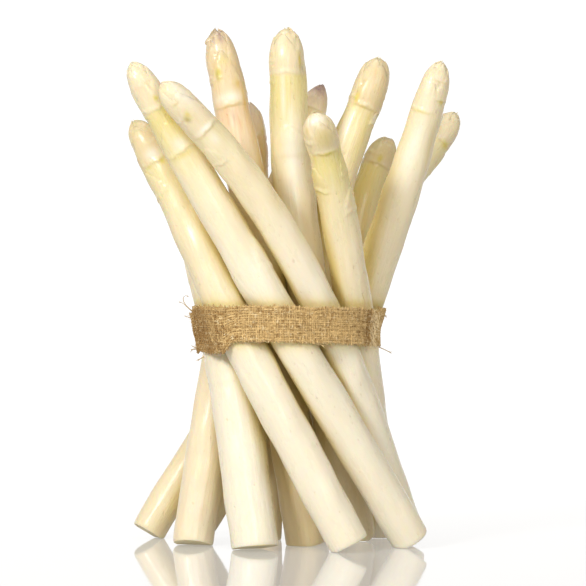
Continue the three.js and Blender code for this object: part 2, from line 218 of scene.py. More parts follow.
def smooth_line(points, count, degree=7):
    """Resamples a line of points evenly, along low polynomials so that it has no kinks."""
    for _ in range(2):
        steps = np.linalg.norm(np.diff(points, axis=0), axis=1)
        s = np.concatenate([[0], np.cumsum(steps)])
        s = s / s[-1] * 2 - 1
        even = np.linspace(-1, 1, count)
        points = np.stack([np.polyval(np.polyfit(s, points[:, k], degree), even) for k in range(3)], 1)
    return points


def axis_from_node(name, reach):
    triangles = node_triangles(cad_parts[name])
    corners = triangles.reshape(-1, 3)
    top = corners[:, 2].max()
    heights = np.linspace(9, top - 7, 34)
    line = np.array([section_centre(triangles, np.array([0, 0, z]), np.array([0, 0, 1.0])) for z in heights])
    for _ in range(2):
        along = unit(np.gradient(line, axis=0))
        line = np.array([section_centre(triangles, p, t) for p, t in zip(line, along)])
        line = smooth_line(line, 34, 6)
    along = unit(np.gradient(line, axis=0))
    tip = line[-1] + along[-1] * (((corners - line[-1]) @ along[-1]).max() + reach)
    low = corners[corners[:, 2] < 14]
    cut = line[0] + along[0] * ((low - line[0]) @ along[0]).min()
    return smooth_line(np.vstack([cut, line, tip]), 240)[::-1]


class Spear:
    """A spear's curved axis, counted in millimetres from the tip, with its radius and the frame round it."""

    def __init__(self, name):
        self.name = name
        self.kind = {**COMMON, **SPEARS[name]}
        self.line = axis_from_node(name, self.kind["reach"])
        steps = np.linalg.norm(np.diff(self.line, axis=0), axis=1)
        self.places = np.concatenate([[0], np.cumsum(steps)])
        self.length = self.places[-1]
        self.up = unit(-np.gradient(self.line, axis=0))
        self.front = unit(VIEWER - self.up * (self.up @ VIEWER)[:, None])
        self.side = np.cross(self.up, self.front)
        self.number = int(name[-2:])

    def read(self, table, place):
        return np.stack([np.interp(place, self.places, table[:, k]) for k in range(3)], -1)

    def stem(self, place):
        kind = self.kind
        grown = 1 - np.exp(-np.maximum(0, place - HEAD_LENGTH * 0.6) / BODY_REACH)
        drawn_in = BUTT_NARROWING * np.maximum(0, 1 - (self.length - place) / BUTT_REACH) ** 2
        stem = (kind["neck"] + (kind["body"] - kind["neck"]) * grown) * (1 - drawn_in)
        edge = CUT_EDGE * np.maximum(0, 1 - (self.length - place) / 1.5) ** 2
        dome = (1 - (1 - np.clip(place / HEAD_LENGTH, 0, 1)) ** kind["blunt"]) ** 0.55
        pinch = 1 - kind["pinch"] * np.exp(-((place - kind["head"] - 3.5) / 5) ** 2)
        return stem * dome * pinch - edge

    def on_surface(self, turn, place, stand, radius=None):
        """Points that stand off the stem's surface, along its normal."""
        radius = self.stem(place) if radius is None else radius
        rise = (self.stem(place + 0.2) - self.stem(np.maximum(place - 0.2, 0))) / 0.4
        tilt = np.arctan(np.clip(rise, -3, 3))
        out = (self.read(self.front, place) * np.cos(turn)[..., None]
               + self.read(self.side, place) * np.sin(turn)[..., None])
        reach = (radius + stand * np.cos(tilt))[..., None]
        return (self.read(self.line, place) + out * reach
                + self.read(self.up, place) * (stand * np.sin(tilt))[..., None])


def scales_of(kind):
    """Base, length, half angle, middle turn and strength of each scale leaf: those the viewer sees, then
    the rest of the spiral on the sides that they leave free."""
    found = list(kind["leaves"])
    for k, base in enumerate(SCALE_BASES):
        middle = kind["turn"] + (len(SCALE_BASES) - k) * SPIRAL_TURN
        hidden = away_from(math.radians(middle), 0) > math.radians(85)
        if hidden or base > 60:
            strength = 1.0 if base < 60 else 0.45
            found.append((base, SCALE_LENGTHS[k], SCALE_HALF_ANGLES[k] * 0.85, middle, strength))
    for k, base in enumerate(TIP_BASES):
        middle = kind["turn"] + (len(SCALE_BASES) + 1 + k) * SPIRAL_TURN
        found.append((base, TIP_LENGTHS[k], TIP_HALF_ANGLES[k], middle, 0.7))
    return found


def away_from(turn, middle):
    return np.abs((turn - middle + math.pi) % (2 * math.pi) - math.pi)


# --- mesh helpers ---

def mesh_from_bmesh(bm, name):
    mesh = bpy.data.meshes.new(name)
    bm.to_mesh(mesh)
    bm.free()
    return mesh


def read_points(mesh):
    points = np.empty(len(mesh.vertices) * 3, np.float32)
    mesh.vertices.foreach_get("co", points)
    return points.reshape(-1, 3).astype(float)


def write_points(mesh, points):
    mesh.vertices.foreach_set("co", (np.asarray(points) * MM).astype(np.float32).ravel())
    mesh.update()


def add_vector(mesh, name, values):
    layer = mesh.attributes.new(name, "FLOAT_VECTOR", "POINT")
    layer.data.foreach_set("vector", np.asarray(values, np.float32).ravel())


def add_colour(mesh, name, values):
    layer = mesh.attributes.new(name, "FLOAT_COLOR", "POINT")
    full = np.concatenate([values, np.ones((len(values), 1))], 1)
    layer.data.foreach_set("color", full.astype(np.float32).ravel())


def add_tone(mesh, values):
    layer = mesh.attributes.new("thread", "FLOAT", "POINT")
    layer.data.foreach_set("value", np.asarray(values, np.float32).ravel())


def paint(mesh, colours):
    for name, values in zip(("tints", "marks", "lines"), colours):
        add_colour(mesh, name, values)


def shade_smooth(mesh):
    mesh.polygons.foreach_set("use_smooth", np.ones(len(mesh.polygons), bool))


def put_in_scene(mesh, name, body="root"):
    piece = bpy.data.objects.new(name, mesh)
    bpy.context.scene.collection.objects.link(piece)
    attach(piece, body)
    return piece


# --- a spear's stem ---

def row_places(spear):
    """Distances from the tip of the rows of vertices: fine in the head, coarser down the stem."""
    head = np.linspace(0, 1, 21)[1:] ** 1.5 * 6
    scales = np.arange(6.3, 44, 0.32)
    stem = np.linspace(44.5, spear.length - 2, 104)
    edge = spear.length - np.array([1.5, 1.0, 0.6, 0.3, 0.1, 0.0])
    return np.concatenate([head, scales, stem, edge])


class Leaf:
    """Where points lie on a scale leaf: up its length, across its width and inside its edges."""

    def __init__(self, spear, scale, turn, place):
        self.base, self.length, half, middle, self.strength = scale
        self.up = (self.base - place) / self.length
        shelter = np.clip(self.up, 0, 1)
        width = math.radians(half) * (1.001 - shelter ** 1.5) ** 0.75
        wave = 0.05 * np.sin(place * 1.9 + spear.number + self.base)
        self.away = away_from(turn, math.radians(middle))
        self.side = (width * (1 + wave) - self.away) * spear.stem(np.maximum(place, 0.5))
        ragged = (0.4 * np.sin(turn * 3 + self.base * 1.7) + 0.3 * np.sin(turn * 8 + self.base)
                  + 0.16 * np.sin(turn * 19))
        self.below = place - self.base - ragged * min(1.0, self.strength)
        self.window = np.clip(1 - (self.away / math.radians(half)) ** 2, 0, 1) ** 0.5


def leaf_relief(spear, turn, place):
    """Leaves lie thin on the stem: swollen at the base, and a step at their sides and point."""
    highest = np.zeros_like(place)
    total = np.zeros_like(place)
    for scale in scales_of(spear.kind):
        leaf = Leaf(spear, scale, turn, place)
        edge = smoothstep(np.minimum(leaf.side, (1 - leaf.up) * leaf.length), 0, 0.7)
        risen = 0.3 + 0.7 * smoothstep(leaf.up, 0, 0.5)
        inside = (leaf.up > 0) * edge * 0.36 * min(leaf.strength, 1.2) * risen
        above = np.exp(-(np.minimum(leaf.below, 0) / 2.2) ** 2)
        under = np.exp(-(np.maximum(leaf.below, 0) / 0.6) ** 2)
        swell = 0.27 * leaf.strength * above * under * leaf.window
        bump = np.maximum(inside, swell)
        total += bump
        highest = np.maximum(highest, bump)
    return highest + 0.4 * (total - highest)


def waviness(spear, turn, place):
    """Slow swellings and faint ribs, different on each spear."""
    chance = np.random.default_rng(700 + spear.number)
    wave = np.zeros_like(place)
    for _ in range(6):
        reach = chance.uniform(14, 60)
        around = chance.integers(0, 4)
        height = chance.uniform(0.03, 0.09)
        start = chance.uniform(0, 6.3)
        wave += height * np.sin(place / reach * 2 * math.pi + around * turn + start)
    ribs = 0.025 * np.sin(turn * 11 + 1.5 * np.sin(place / 37 + spear.number)) * smoothstep(place, 20, 60)
    return wave * smoothstep(place, 1, 12) + ribs


def stem_template(rows):
    bm = bmesh.new()
    bmesh.ops.create_uvsphere(bm, u_segments=SIDES_AROUND, v_segments=rows, radius=1)
    return mesh_from_bmesh(bm, "stem")


def shelter_by_others(spear, place, points, spears):
    """The share of each point's half-space that the other spears fill, as rows of small discs."""
    outward = unit(points - spear.read(spear.line, place))
    filled = np.zeros(len(points))
    picks = slice(2, None, 5)
    for other in spears:
        if other is spear:
            continue
        line, axis, radius = other.line[picks], other.up[picks], other.stem(other.places[picks])
        spacing = (other.places[-1] - other.places[0]) / (len(other.places) - 1) * 5
        for start in range(0, len(points), BATCH):
            part = slice(start, start + BATCH)
            way = line[None] - points[part, None]
            reach = np.maximum(np.linalg.norm(way, axis=2), 1)
            facing = np.maximum(0, (way * outward[part, None]).sum(2) / reach)
            across = np.sqrt(np.maximum(0, 1 - ((way * axis[None]).sum(2) / reach) ** 2))
            filled[part] += (facing * across * 2 * radius * spacing / (math.pi * reach ** 2)).sum(1)
    return filled


def marks_on(spear, turn, place, points, spears):
    """Three colours of masks: lemon, blush and painted shade between spears; purple, cream (whiter lower stem
    and painted highlights) and tan (own tan cast and painted shade on the back spears' feet); painted shade
    along leaf edges and roots, lime and olive.
    """
    kind = spear.kind
    under = smoothstep(place, kind["head"] - 0.4, kind["head"] + 1.6)
    fade = np.exp(-(np.maximum(0, place - kind["head"] - 6) / 17) ** 1.3)
    masks = dict(
        lemon=kind["lemon"] * under * fade * 0.9,
        blush=kind["blush"] * (under * fade * 0.75 + 0.22 * (1 - under)),
        purple=kind["purple"] * np.exp(-(place / 6.0) ** 1.6),
        tan=np.full_like(place, kind["tan"]) * (0.45 + 0.55 * (1 - under)),
        cream=np.zeros_like(place), crease_shade=np.zeros_like(place), lime=np.zeros_like(place),
        olive=np.zeros_like(place))
    masks["cream"] += 0.6 * max(kind["pale"], 0) * smoothstep(place, 55, 115)
    # painted shade: a tan cast on the feet of the back spears, where pale is negative
    masks["tan"] += 0.6 * max(-kind["pale"], 0) * smoothstep(place, 80, 140)
    masks["tan"] += 0.12 * (1 - under)
    for scale in scales_of(kind):
        leaf = Leaf(spear, scale, turn, place)
        broken = 0.55 + 0.45 * np.sin(turn * 3.1 + scale[0]) * np.sin(turn * 7.3 + place)
        weight = min(leaf.strength, 1.0) * (0.6 if scale[0] < FREE_LEAF_BASE else 0.22) * broken
        # painted shade: a thin dark line just outside each leaf's free edge and just below its base
        outside = np.exp(-((leaf.side + 0.25) / 0.38) ** 2) * (leaf.up > 0.1) * (leaf.up < 1)
        root = np.exp(-((leaf.below - 0.45) / 0.42) ** 2) * leaf.window
        masks["crease_shade"] = np.maximum(masks["crease_shade"], np.maximum(0.35 * outside, 0.32 * root) * weight)
        # painted highlight: a pale band on each leaf just above its swollen base
        lip_highlight = np.exp(-((leaf.below + 0.8) / 0.8) ** 2) * leaf.window * 0.5 * weight
        masks["cream"] = np.maximum(masks["cream"], lip_highlight)
        if leaf.base > 20:
            stain = (np.exp(-np.maximum(0, leaf.below) / 1.6) * leaf.window * (leaf.below > -0.2)
                     * 0.35 * weight)
            masks["lime"] = np.maximum(masks["lime"], stain)
    # cream patches are painted highlights
    for tint, at, middle, along, around, strength in kind["patches"]:
        away = away_from(turn, math.radians(middle)) / math.radians(around)
        spot = strength * np.exp(-((place - at) / along) ** 2 - away ** 2)
        # brown patches add painted shade under scale tips and along node lines
        name = {"brown": "crease_shade", "orange": "blush"}.get(tint, tint)
        masks[name] = np.maximum(masks[name], spot)
        if tint == "orange":
            masks["lime"] = np.maximum(masks["lime"], 0.5 * spot)
    # painted shade: golden colour where other spears fill much of the half-space round a point, and where the
    # band presses
    filled = shelter_by_others(spear, place, points, spears)
    crevice_shade = smoothstep(filled, 0.4, 1.3) * (0.62 - 0.3 * smoothstep(points[:, 2], 140, 165))
    shade_by_band = np.exp(-np.maximum(0, np.abs(points[:, 2] - BAND_MIDDLE) - 8) / 2.2)
    crevice_shade = np.maximum(crevice_shade, 0.55 * shade_by_band) * kind["shade"]
    groups = (("lemon", "blush", None), ("purple", "cream", "tan"), ("crease_shade", "lime", "olive"))
    return [np.stack([np.clip(crevice_shade if name is None else masks[name], 0, 1) for name in group], 1)
            for group in groups]


def straight_coords(spear, turn, place, radius):
    """Where the point would be if the spear were straight, for streaks and pits that follow it."""
    return np.stack([radius * np.cos(turn), radius * np.sin(turn), place + 300 * spear.number], 1) * MM


def stem_mesh(spear, spears):
    places = row_places(spear)
    rows = len(places) + len(BUTT_FLAT_ROWS) + 1
    mesh = stem_template(rows)
    points = read_points(mesh)
    polar = np.arccos(np.clip(points[:, 2], -1, 1))
    row = np.rint(polar / math.pi * rows).astype(int)
    turn = np.arctan2(points[:, 1], points[:, 0])
    table = np.concatenate([[0], places, np.full(len(BUTT_FLAT_ROWS) + 1, spear.length)])
    inset = np.concatenate([np.ones(len(places) + 1), BUTT_FLAT_ROWS, [0.0]])
    place = table[row]
    stem = spear.stem(place)
    free = smoothstep(np.abs(spear.read(spear.line, place)[:, 2] - WAIST_Z), PRESSED_REACH, PRESSED_REACH + 6)
    relief = leaf_relief(spear, turn, place) * free * (stem > 0.5)
    swollen = stem + relief + waviness(spear, turn, place) - 0.15
    radius = np.where(row == 0, 0, swollen) * inset[row]
    made = spear.on_surface(turn, place, np.zeros_like(place), radius)
    flat = row > len(places)
    chance = np.random.default_rng(40 + spear.number)
    tilt = chance.uniform(-0.03, 0.03, 2)
    dish = (0.25 * (1 - inset[row] ** 2) + 0.12 * np.sin(3 * turn + spear.number) * inset[row]
            + radius * (tilt[0] * np.cos(turn) + tilt[1] * np.sin(turn))) * flat
    made += spear.read(spear.up, place) * dish[:, None]
    made[:, 2] = np.maximum(made[:, 2], 0.15)
    write_points(mesh, made)
    add_vector(mesh, "straight", straight_coords(spear, turn, place, np.maximum(radius, 0.01)))
    paint(mesh, marks_on(spear, turn, place, made, spears))
    face_rows = np.array([row[list(p.vertices)].min() for p in mesh.polygons])
    mesh.polygons.foreach_set("material_index", (face_rows >= len(places)).astype(np.int32))
    shade_smooth(mesh)
    return mesh


# --- the free points of the scale leaves: thin flaps that leave the stem towards their tips ---

LEAF_COLUMNS = 12
LEAF_ROWS = 12


def leaf_template():
    bm = bmesh.new()
    bmesh.ops.create_grid(bm, x_segments=LEAF_COLUMNS, y_segments=LEAF_ROWS, size=1)
    bmesh.ops.solidify(bm, geom=bm.faces[:], thickness=0.5)
    mesh = mesh_from_bmesh(bm, "leaf")
    shade_smooth(mesh)
    return mesh


def leaf_mesh(spear, scale, number, spears, template):
    base, length, half, middle, strength = scale
    mesh = template.copy()
    points = read_points(mesh)
    levels = points[:, 2]
    outer = levels > (levels.max() + levels.min()) / 2
    x = np.clip(points[:, 0], -1, 1)
    up = np.clip((points[:, 1] + 1) / 2, 0, 1) * 0.97
    chance = np.random.default_rng(spear.number * 100 + number)
    width = math.radians(half) * (1.001 - up ** 1.5) ** 0.75 * 0.98
    turn = math.radians(middle) + x * width
    place = base - length * up - 0.12 * length * up ** 3 * chance.uniform(0, 1)
    frayed = spear.kind["fray"] * (1.0 if base < 12 else 0.35)
    edge = 0.12 * np.sin(x * chance.uniform(5, 9) + chance.uniform(0, 6)) * smoothstep(np.abs(x), 0.6, 1)
    place = place + edge * length * 0.2 * frayed
    crown = 1 - 0.5 * x ** 2
    rise = smoothstep(up, 0.3, 1.0)
    stand = -0.3 + (0.3 + 0.15 * strength + 0.8 * frayed * chance.uniform(0.1, 1.0)) * rise * crown
    stand = np.where(outer, stand + 0.1, stand - 0.12)
    bounded = np.maximum(place, 0.05)
    made = spear.on_surface(turn, bounded, stand)
    made += spear.read(spear.up, bounded) * np.maximum(0, bounded - place)[:, None] * 0.9
    write_points(mesh, made)
    add_vector(mesh, "straight", straight_coords(spear, turn, bounded, spear.stem(bounded)))
    paint(mesh, marks_on(spear, turn, bounded, made, spears))
    return mesh


def join_meshes(meshes, name):
    bm = bmesh.new()
    for mesh in meshes:
        bm.from_mesh(mesh)
    joined = mesh_from_bmesh(bm, name)
    for mesh in meshes:
        bpy.data.meshes.remove(mesh)
    return joined


# --- materials ---

def new_material(name):
    material = bpy.data.materials.new(name)
    material.use_nodes = True
    tree = material.node_tree
    return material, tree, tree.nodes["Principled BSDF"]


def socket(group, name, kind, way, value=None):
    made = group.interface.new_socket(name=name, in_out=way, socket_type=kind)
    if value is not None:
        made.default_value = value
    return made


def math_node(tree, operation, a, b=None, clamp=False):
    node = tree.nodes.new("ShaderNodeMath")
    node.operation = operation
    node.use_clamp = clamp
    for k, value in enumerate((a, b)):
        if value is None:
            continue
        if isinstance(value, (int, float)):
            node.inputs[k].default_value = value
        else:
            tree.links.new(value, node.inputs[k])
    return node.outputs[0]


def times(tree, value, share, clamp=False):
    return math_node(tree, "MULTIPLY", value, share, clamp)


def give(node, values):
    for name, value in values.items():
        node.inputs[name].default_value = value


def add_bump(tree, shader, height, strength, distance):
    bump = tree.nodes.new("ShaderNodeBump")
    give(bump, {"Strength": strength, "Distance": distance})
    tree.links.new(height, bump.inputs["Height"])
    tree.links.new(bump.outputs["Normal"], shader.inputs["Normal"])


def mix_colour(tree, factor, a, b):
    node = tree.nodes.new("ShaderNodeMix")
    node.data_type = "RGBA"
    for key, value in ((0, factor), (6, a), (7, b)):
        if isinstance(value, (int, float, tuple)):
            node.inputs[key].default_value = value
        else:
            tree.links.new(value, node.inputs[key])
    return node.outputs[2]


def noise(tree, vector, scale, detail=3.0, rough=0.5):
    node = tree.nodes.new("ShaderNodeTexNoise")
    give(node, {"Scale": scale, "Detail": detail, "Roughness": rough})
    tree.links.new(vector, node.inputs["Vector"])
    return node.outputs["Fac"]


def remap(tree, value, low, high, to_low=0.0, to_high=1.0):
    node = tree.nodes.new("ShaderNodeMapRange")
    give(node, {"From Min": low, "From Max": high, "To Min": to_low, "To Max": to_high})
    tree.links.new(value, node.inputs["Value"])
    return node.outputs["Result"]


def stretched(tree, vector, scale):
    node = tree.nodes.new("ShaderNodeMapping")
    node.inputs["Scale"].default_value = scale
    tree.links.new(vector, node.inputs["Vector"])
    return node.outputs["Vector"]


def stem_grain_group():
    """Streaks along the stem, blotches and pits, from the straightened place."""
    group = bpy.data.node_groups.new("Stem grain", "ShaderNodeTree")
    socket(group, "Place", "NodeSocketVector", "INPUT")
    for name in ("Streaks", "Blotches", "Pits", "Wet", "Height"):
        socket(group, name, "NodeSocketFloat", "OUTPUT")
    start = group.nodes.new("NodeGroupInput").outputs["Place"]
    end = group.nodes.new("NodeGroupOutput")
    long = stretched(group, start, (1.0, 1.0, 0.06))
    fine = noise(group, long, 1700, 4, 0.6)
    broad = noise(group, long, 420, 3, 0.5)
    streaks = math_node(group, "ADD", times(group, fine, 0.45),
                        times(group, broad, 0.55))
    blotches = noise(group, stretched(group, start, (1, 1, 0.45)), 95, 4, 0.55)
    speck = noise(group, stretched(group, start, (1, 1, 0.6)), 620, 2, 0.4)
    pits = remap(group, speck, 0.70, 0.78)
    group.links.new(remap(group, streaks, 0.36, 0.64), end.inputs["Streaks"])
    group.links.new(remap(group, blotches, 0.38, 0.66), end.inputs["Blotches"])
    group.links.new(pits, end.inputs["Pits"])
    wrinkles = noise(group, stretched(group, start, (1, 1, 0.35)), 260, 4, 0.6)
    group.links.new(remap(group, wrinkles, 0.42, 0.62), end.inputs["Wet"])
    rough = math_node(group, "ADD", streaks, times(group, wrinkles, 1.3))
    height = math_node(group, "SUBTRACT", rough, times(group, pits, 0.5))
    group.links.new(height, end.inputs["Height"])
    return group


def use_group(tree, group, **links):
    node = tree.nodes.new("ShaderNodeGroup")
    node.node_tree = group
    for name, value in links.items():
        tree.links.new(value, node.inputs[name])
    return node


def attribute(tree, name):
    node = tree.nodes.new("ShaderNodeAttribute")
    node.attribute_name = name
    return node


IVORY = (0.90, 0.805, 0.57, 1)
CREAM = (0.94, 0.885, 0.70, 1)
BUFF = (0.92, 0.80, 0.58, 1)
PALE_BUFF = (0.95, 0.88, 0.72, 1)
# whiter lower stems, and painted highlights
WHITE_AND_HIGHLIGHT = (0.965, 0.925, 0.835, 1)
LEMON = (0.80, 0.69, 0.27, 1)
LIME = (0.72, 0.62, 0.10, 1)
OLIVE = (0.58, 0.52, 0.24, 1)
BLUSH = (0.80, 0.46, 0.27, 1)
PURPLE = (0.34, 0.20, 0.22, 1)
# painted shade colour along leaf edges, leaf roots and in brown patches
CREASE_SHADE = (0.54, 0.41, 0.13, 1)
# painted shade colours: golden between crowded spears, brown where they nearly touch
CREVICE_SHADE = (0.81, 0.65, 0.17, 1)
DEEP_SHADE = (0.54, 0.38, 0.04, 1)
# the spears' own tan cast, and painted shade on the feet of the back spears
TAN_AND_SHADE = (0.72, 0.57, 0.28, 1)
STREAK = (0.80, 0.67, 0.40, 1)
ROSY = (0.90, 0.76, 0.60, 1)
PIT = (0.66, 0.48, 0.27, 1)
FIBRE_END = (0.70, 0.56, 0.27, 1)
FLESH = (0.86, 0.76, 0.47, 1)
FLESH_BLOTCH = (0.86, 0.70, 0.38, 1)
JUTE_DARK = (0.33, 0.185, 0.055, 1)
JUTE_LIGHT = (0.84, 0.61, 0.28, 1)
JUTE_DRY = (0.70, 0.48, 0.20, 1)
JUTE_FLECK = (0.93, 0.80, 0.52, 1)
JUTE_BLEACHED = (0.92, 0.78, 0.50, 1)


def split(tree, name):
    node = tree.nodes.new("ShaderNodeSeparateColor")
    tree.links.new(attribute(tree, name).outputs["Color"], node.inputs[0])
    return node.outputs


def skin_material(name, grain, base, pale, roughness, depth):
    material, tree, shader = new_material(name)
    place = attribute(tree, "straight").outputs["Vector"]
    pattern = use_group(tree, grain, Place=place)
    tints, marks, lines = split(tree, "tints"), split(tree, "marks"), split(tree, "lines")
    streaks = pattern.outputs["Streaks"]
    streaky = math_node(tree, "ADD", times(tree, streaks, 0.6), 0.55)
    patchy = math_node(tree, "ADD", times(tree, streaks, 0.8), 0.35)
    deepest_shade = math_node(tree, "POWER", tints[2], 2.0)
    skin = base
    for mask, colour in (
            (times(tree, pattern.outputs["Blotches"], 0.6), pale),
            (times(tree, streaks, 0.22), STREAK),
            (times(tree, pattern.outputs["Wet"], 0.3), ROSY),
            # the spear's own tan cast, more in the head, and painted shade on the feet of the back spears
            (marks[2], TAN_AND_SHADE),
            (times(tree, tints[0], streaky, True), LEMON),
            (times(tree, tints[1], patchy, True), BLUSH),
            (times(tree, lines[2], streaky, True), OLIVE),
            # whiter lower stems, and painted highlights on the leaf bases and in cream patches
            (times(tree, marks[1], 0.8), WHITE_AND_HIGHLIGHT),
            (times(tree, lines[1], 0.85), LIME),
            (times(tree, marks[0], streaky, True), PURPLE),
            # painted shade along leaf edges and roots and in brown patches
            (times(tree, lines[0], 0.75), CREASE_SHADE),
            # painted shade between crowded spears and where the band presses
            (times(tree, tints[2], 0.9), CREVICE_SHADE),
            (times(tree, deepest_shade, 0.85), DEEP_SHADE),
            (times(tree, pattern.outputs["Pits"], 0.3), PIT)):
        skin = mix_colour(tree, mask, skin, colour)
    tree.links.new(skin, shader.inputs["Base Color"])
    tree.links.new(remap(tree, pattern.outputs["Wet"], 0, 1, roughness - 0.13, roughness + 0.12),
                   shader.inputs["Roughness"])
    give(shader, {"Subsurface Weight": depth, "Subsurface Radius": (1.0, 0.55, 0.18), "Subsurface Scale": 0.003,
                  "IOR": 1.45, "Coat Weight": 0.35, "Coat Roughness": 0.22})
    add_bump(tree, shader, pattern.outputs["Height"], 0.55, 0.0006)
    return material


def cut_material(grain):
    """The cut ends: moist, yellower flesh with fine dots of cut fibres."""
    material, tree, shader = new_material("cut flesh")
    place = attribute(tree, "straight").outputs["Vector"]
    pattern = use_group(tree, grain, Place=place)
    fibres = tree.nodes.new("ShaderNodeTexVoronoi")
    fibres.inputs["Scale"].default_value = 1100
    tree.links.new(place, fibres.inputs["Vector"])
    dots = remap(tree, fibres.outputs["Distance"], 0.1, 0.45)
    flesh = mix_colour(tree, dots, FIBRE_END, FLESH)
    flesh = mix_colour(tree, times(tree, pattern.outputs["Blotches"], 0.4), flesh, FLESH_BLOTCH)
    tree.links.new(flesh, shader.inputs["Base Color"])
    tree.links.new(remap(tree, dots, 0, 1, 0.5, 0.38), shader.inputs["Roughness"])
    give(shader, {"Subsurface Weight": 0.2, "Subsurface Radius": (1.0, 0.6, 0.25), "Subsurface Scale": 0.0025})
    add_bump(tree, shader, dots, 0.35, 0.0004)
    return material


def fibre_group():
    """Colour and height of spun jute, from the place along and round a thread."""
    group = bpy.data.node_groups.new("Jute fibre", "ShaderNodeTree")
    socket(group, "Place", "NodeSocketVector", "INPUT")
    socket(group, "Thread", "NodeSocketFloat", "INPUT", 0.5)
    socket(group, "Colour", "NodeSocketColor", "OUTPUT")
    socket(group, "Height", "NodeSocketFloat", "OUTPUT")
    start = group.nodes.new("NodeGroupInput")
    end = group.nodes.new("NodeGroupOutput")
    twisted = noise(group, start.outputs["Place"], 900, 4, 0.65)
    broad = noise(group, start.outputs["Place"], 110, 3, 0.5)
    grains = noise(group, start.outputs["Place"], 420, 2, 0.6)
    mixed = math_node(group, "ADD", times(group, twisted, 0.4),
                      times(group, grains, 0.35))
    tone = math_node(group, "ADD", mixed, times(group, start.outputs["Thread"], 0.3))
    colour = mix_colour(group, remap(group, tone, 0.3, 0.72), JUTE_DARK, JUTE_LIGHT)
    colour = mix_colour(group, remap(group, broad, 0.42, 0.68, 0, 0.35), colour, JUTE_DRY)
    fleck = remap(group, noise(group, start.outputs["Place"], 640, 2, 0.5), 0.60, 0.70)
    colour = mix_colour(group, times(group, fleck, 0.55), colour, JUTE_FLECK)
    group.links.new(colour, end.inputs["Colour"])
    group.links.new(twisted, end.inputs["Height"])
    return group


def jute_material(name, fibre, lighten):
    material, tree, shader = new_material(name)
    coordinates = tree.nodes.new("ShaderNodeTexCoord").outputs["Object"]
    thread = attribute(tree, "thread").outputs["Fac"]
    pattern = use_group(tree, fibre, Place=coordinates, Thread=thread)
    colour = mix_colour(tree, lighten, pattern.outputs["Colour"], JUTE_BLEACHED)
    tree.links.new(colour, shader.inputs["Base Color"])
    give(shader, {"Roughness": 0.9, "Sheen Weight": 0.15, "Sheen Roughness": 0.5,
                  "Sheen Tint": (1.0, 0.9, 0.7, 1)})
    add_bump(tree, shader, pattern.outputs["Height"], 0.6, 0.0002)
    return material


# --- the burlap strip ---

BAND_LOW = 82.0
BAND_HIGH = 96.0
BAND_CENTRE = (-5.739, 4.061)
LAP_START = -200.0
LAP_END = -29.0
STRIP_START = LAP_START - 360.0
BUNCH_TURN = -152.0
BUNCH_SPREAD = 23.0
BUNCH_DROP = 6.0
BUNCH_STAND = 1.2
HANG_DROP = 4.3
TOP_DIP = 3.4
RIGHT_DROP = 1.8
LAYER = 0.85
THREAD_PITCH = 0.82
WARPS = 17
THREAD_SIDES = 5
GIRTH = 242
END_FUZZ = 26
END_CROSSING = 24
END_DROOPING = 36
EDGE_FUZZ = 620
FACE_FUZZ = 700


class Strip:
    """The strip's place in space from its turn round the bundle, its share of the height and its lift."""

    def __init__(self, node):
        triangles = node_triangles(node)
        tree = BVHTree.FromPolygons([Vector(p) for p in triangles.reshape(-1, 3)],
                                    [(3 * k, 3 * k + 1, 3 * k + 2) for k in range(len(triangles))])
        self.turns = np.arange(0, 361, 3.0)
        self.heights = np.arange(BAND_LOW - BUNCH_DROP, BAND_HIGH + 0.1, 1.0)
        self.table = np.zeros((len(self.heights), len(self.turns)))
        for i, z in enumerate(self.heights):
            for j, turn in enumerate(self.turns):
                out = Vector((math.cos(math.radians(turn)), math.sin(math.radians(turn)), 0))
                hit = tree.ray_cast(Vector((*BAND_CENTRE, min(z, BAND_HIGH - 0.05))), out)
                self.table[i, j] = hit[3] if hit[3] else 0
        for j in range(len(self.turns)):
            column = self.table[:, j]
            known = column > 1
            column[~known] = np.interp(self.heights[~known], self.heights[known], column[known])

    def inner(self, turn, z):
        turn = np.mod(turn, 360)
        at = np.clip((z - self.heights[0]) / 1.0, 0, len(self.heights) - 1.001)
        low = at.astype(int)
        across = turn / 3.0
        left = np.minimum(across.astype(int), len(self.turns) - 2)
        a, b = at - low, across - left
        t = self.table
        return ((t[low, left] * (1 - b) + t[low, left + 1] * b) * (1 - a)
                + (t[low + 1, left] * (1 - b) + t[low + 1, left + 1] * b) * a)

    def bunched(self, turn):
        away = np.mod(turn - BUNCH_TURN + 180, 360) - 180
        return np.exp(-(away / BUNCH_SPREAD) ** 2)

    def point(self, turn, share, lift):
        """turn in degrees along the strip, share 0 at the lower edge and 1 at the upper."""
        turn, share, lift = np.broadcast_arrays(np.asarray(turn, float), np.asarray(share, float),
                                                np.asarray(lift, float))
        angle = np.radians(turn)
        bunch = self.bunched(turn) * (turn > LAP_START - 40)
        hang = smoothstep(turn, -190, -172) * (1 - smoothstep(turn, -121.5, -115.5)) * (1 - share)
        edge = 0.22 * np.sin(angle * 7 + 1) + 0.16 * np.sin(angle * 17 + 2)
        dip = TOP_DIP * smoothstep(turn, -205, -178) * (1 - smoothstep(turn, -165, -133)) * share ** 2
        z = (BAND_LOW + 0.2 - dip - HANG_DROP * hang + (BAND_HIGH - BAND_LOW - 0.4) * share
             + edge * (0.4 + 0.6 * share))
        z = z - RIGHT_DROP * np.exp(-((np.mod(turn + 15 + 180, 360) - 180) / 45) ** 2)
        layer = LAYER * smoothstep(turn, LAP_START - 18, LAP_START + 6)
        folds = bunch * (0.3 * np.sin(angle * 41 + 3 * share) + 0.22 * np.sin(angle * 67 - 4 * share))
        radius = self.inner(turn, z) + 0.1 + layer - BUNCH_STAND * bunch * (1.2 - share) + folds + lift
        return np.stack([BAND_CENTRE[0] + radius * np.cos(angle),
                         BAND_CENTRE[1] + radius * np.sin(angle), z], -1)


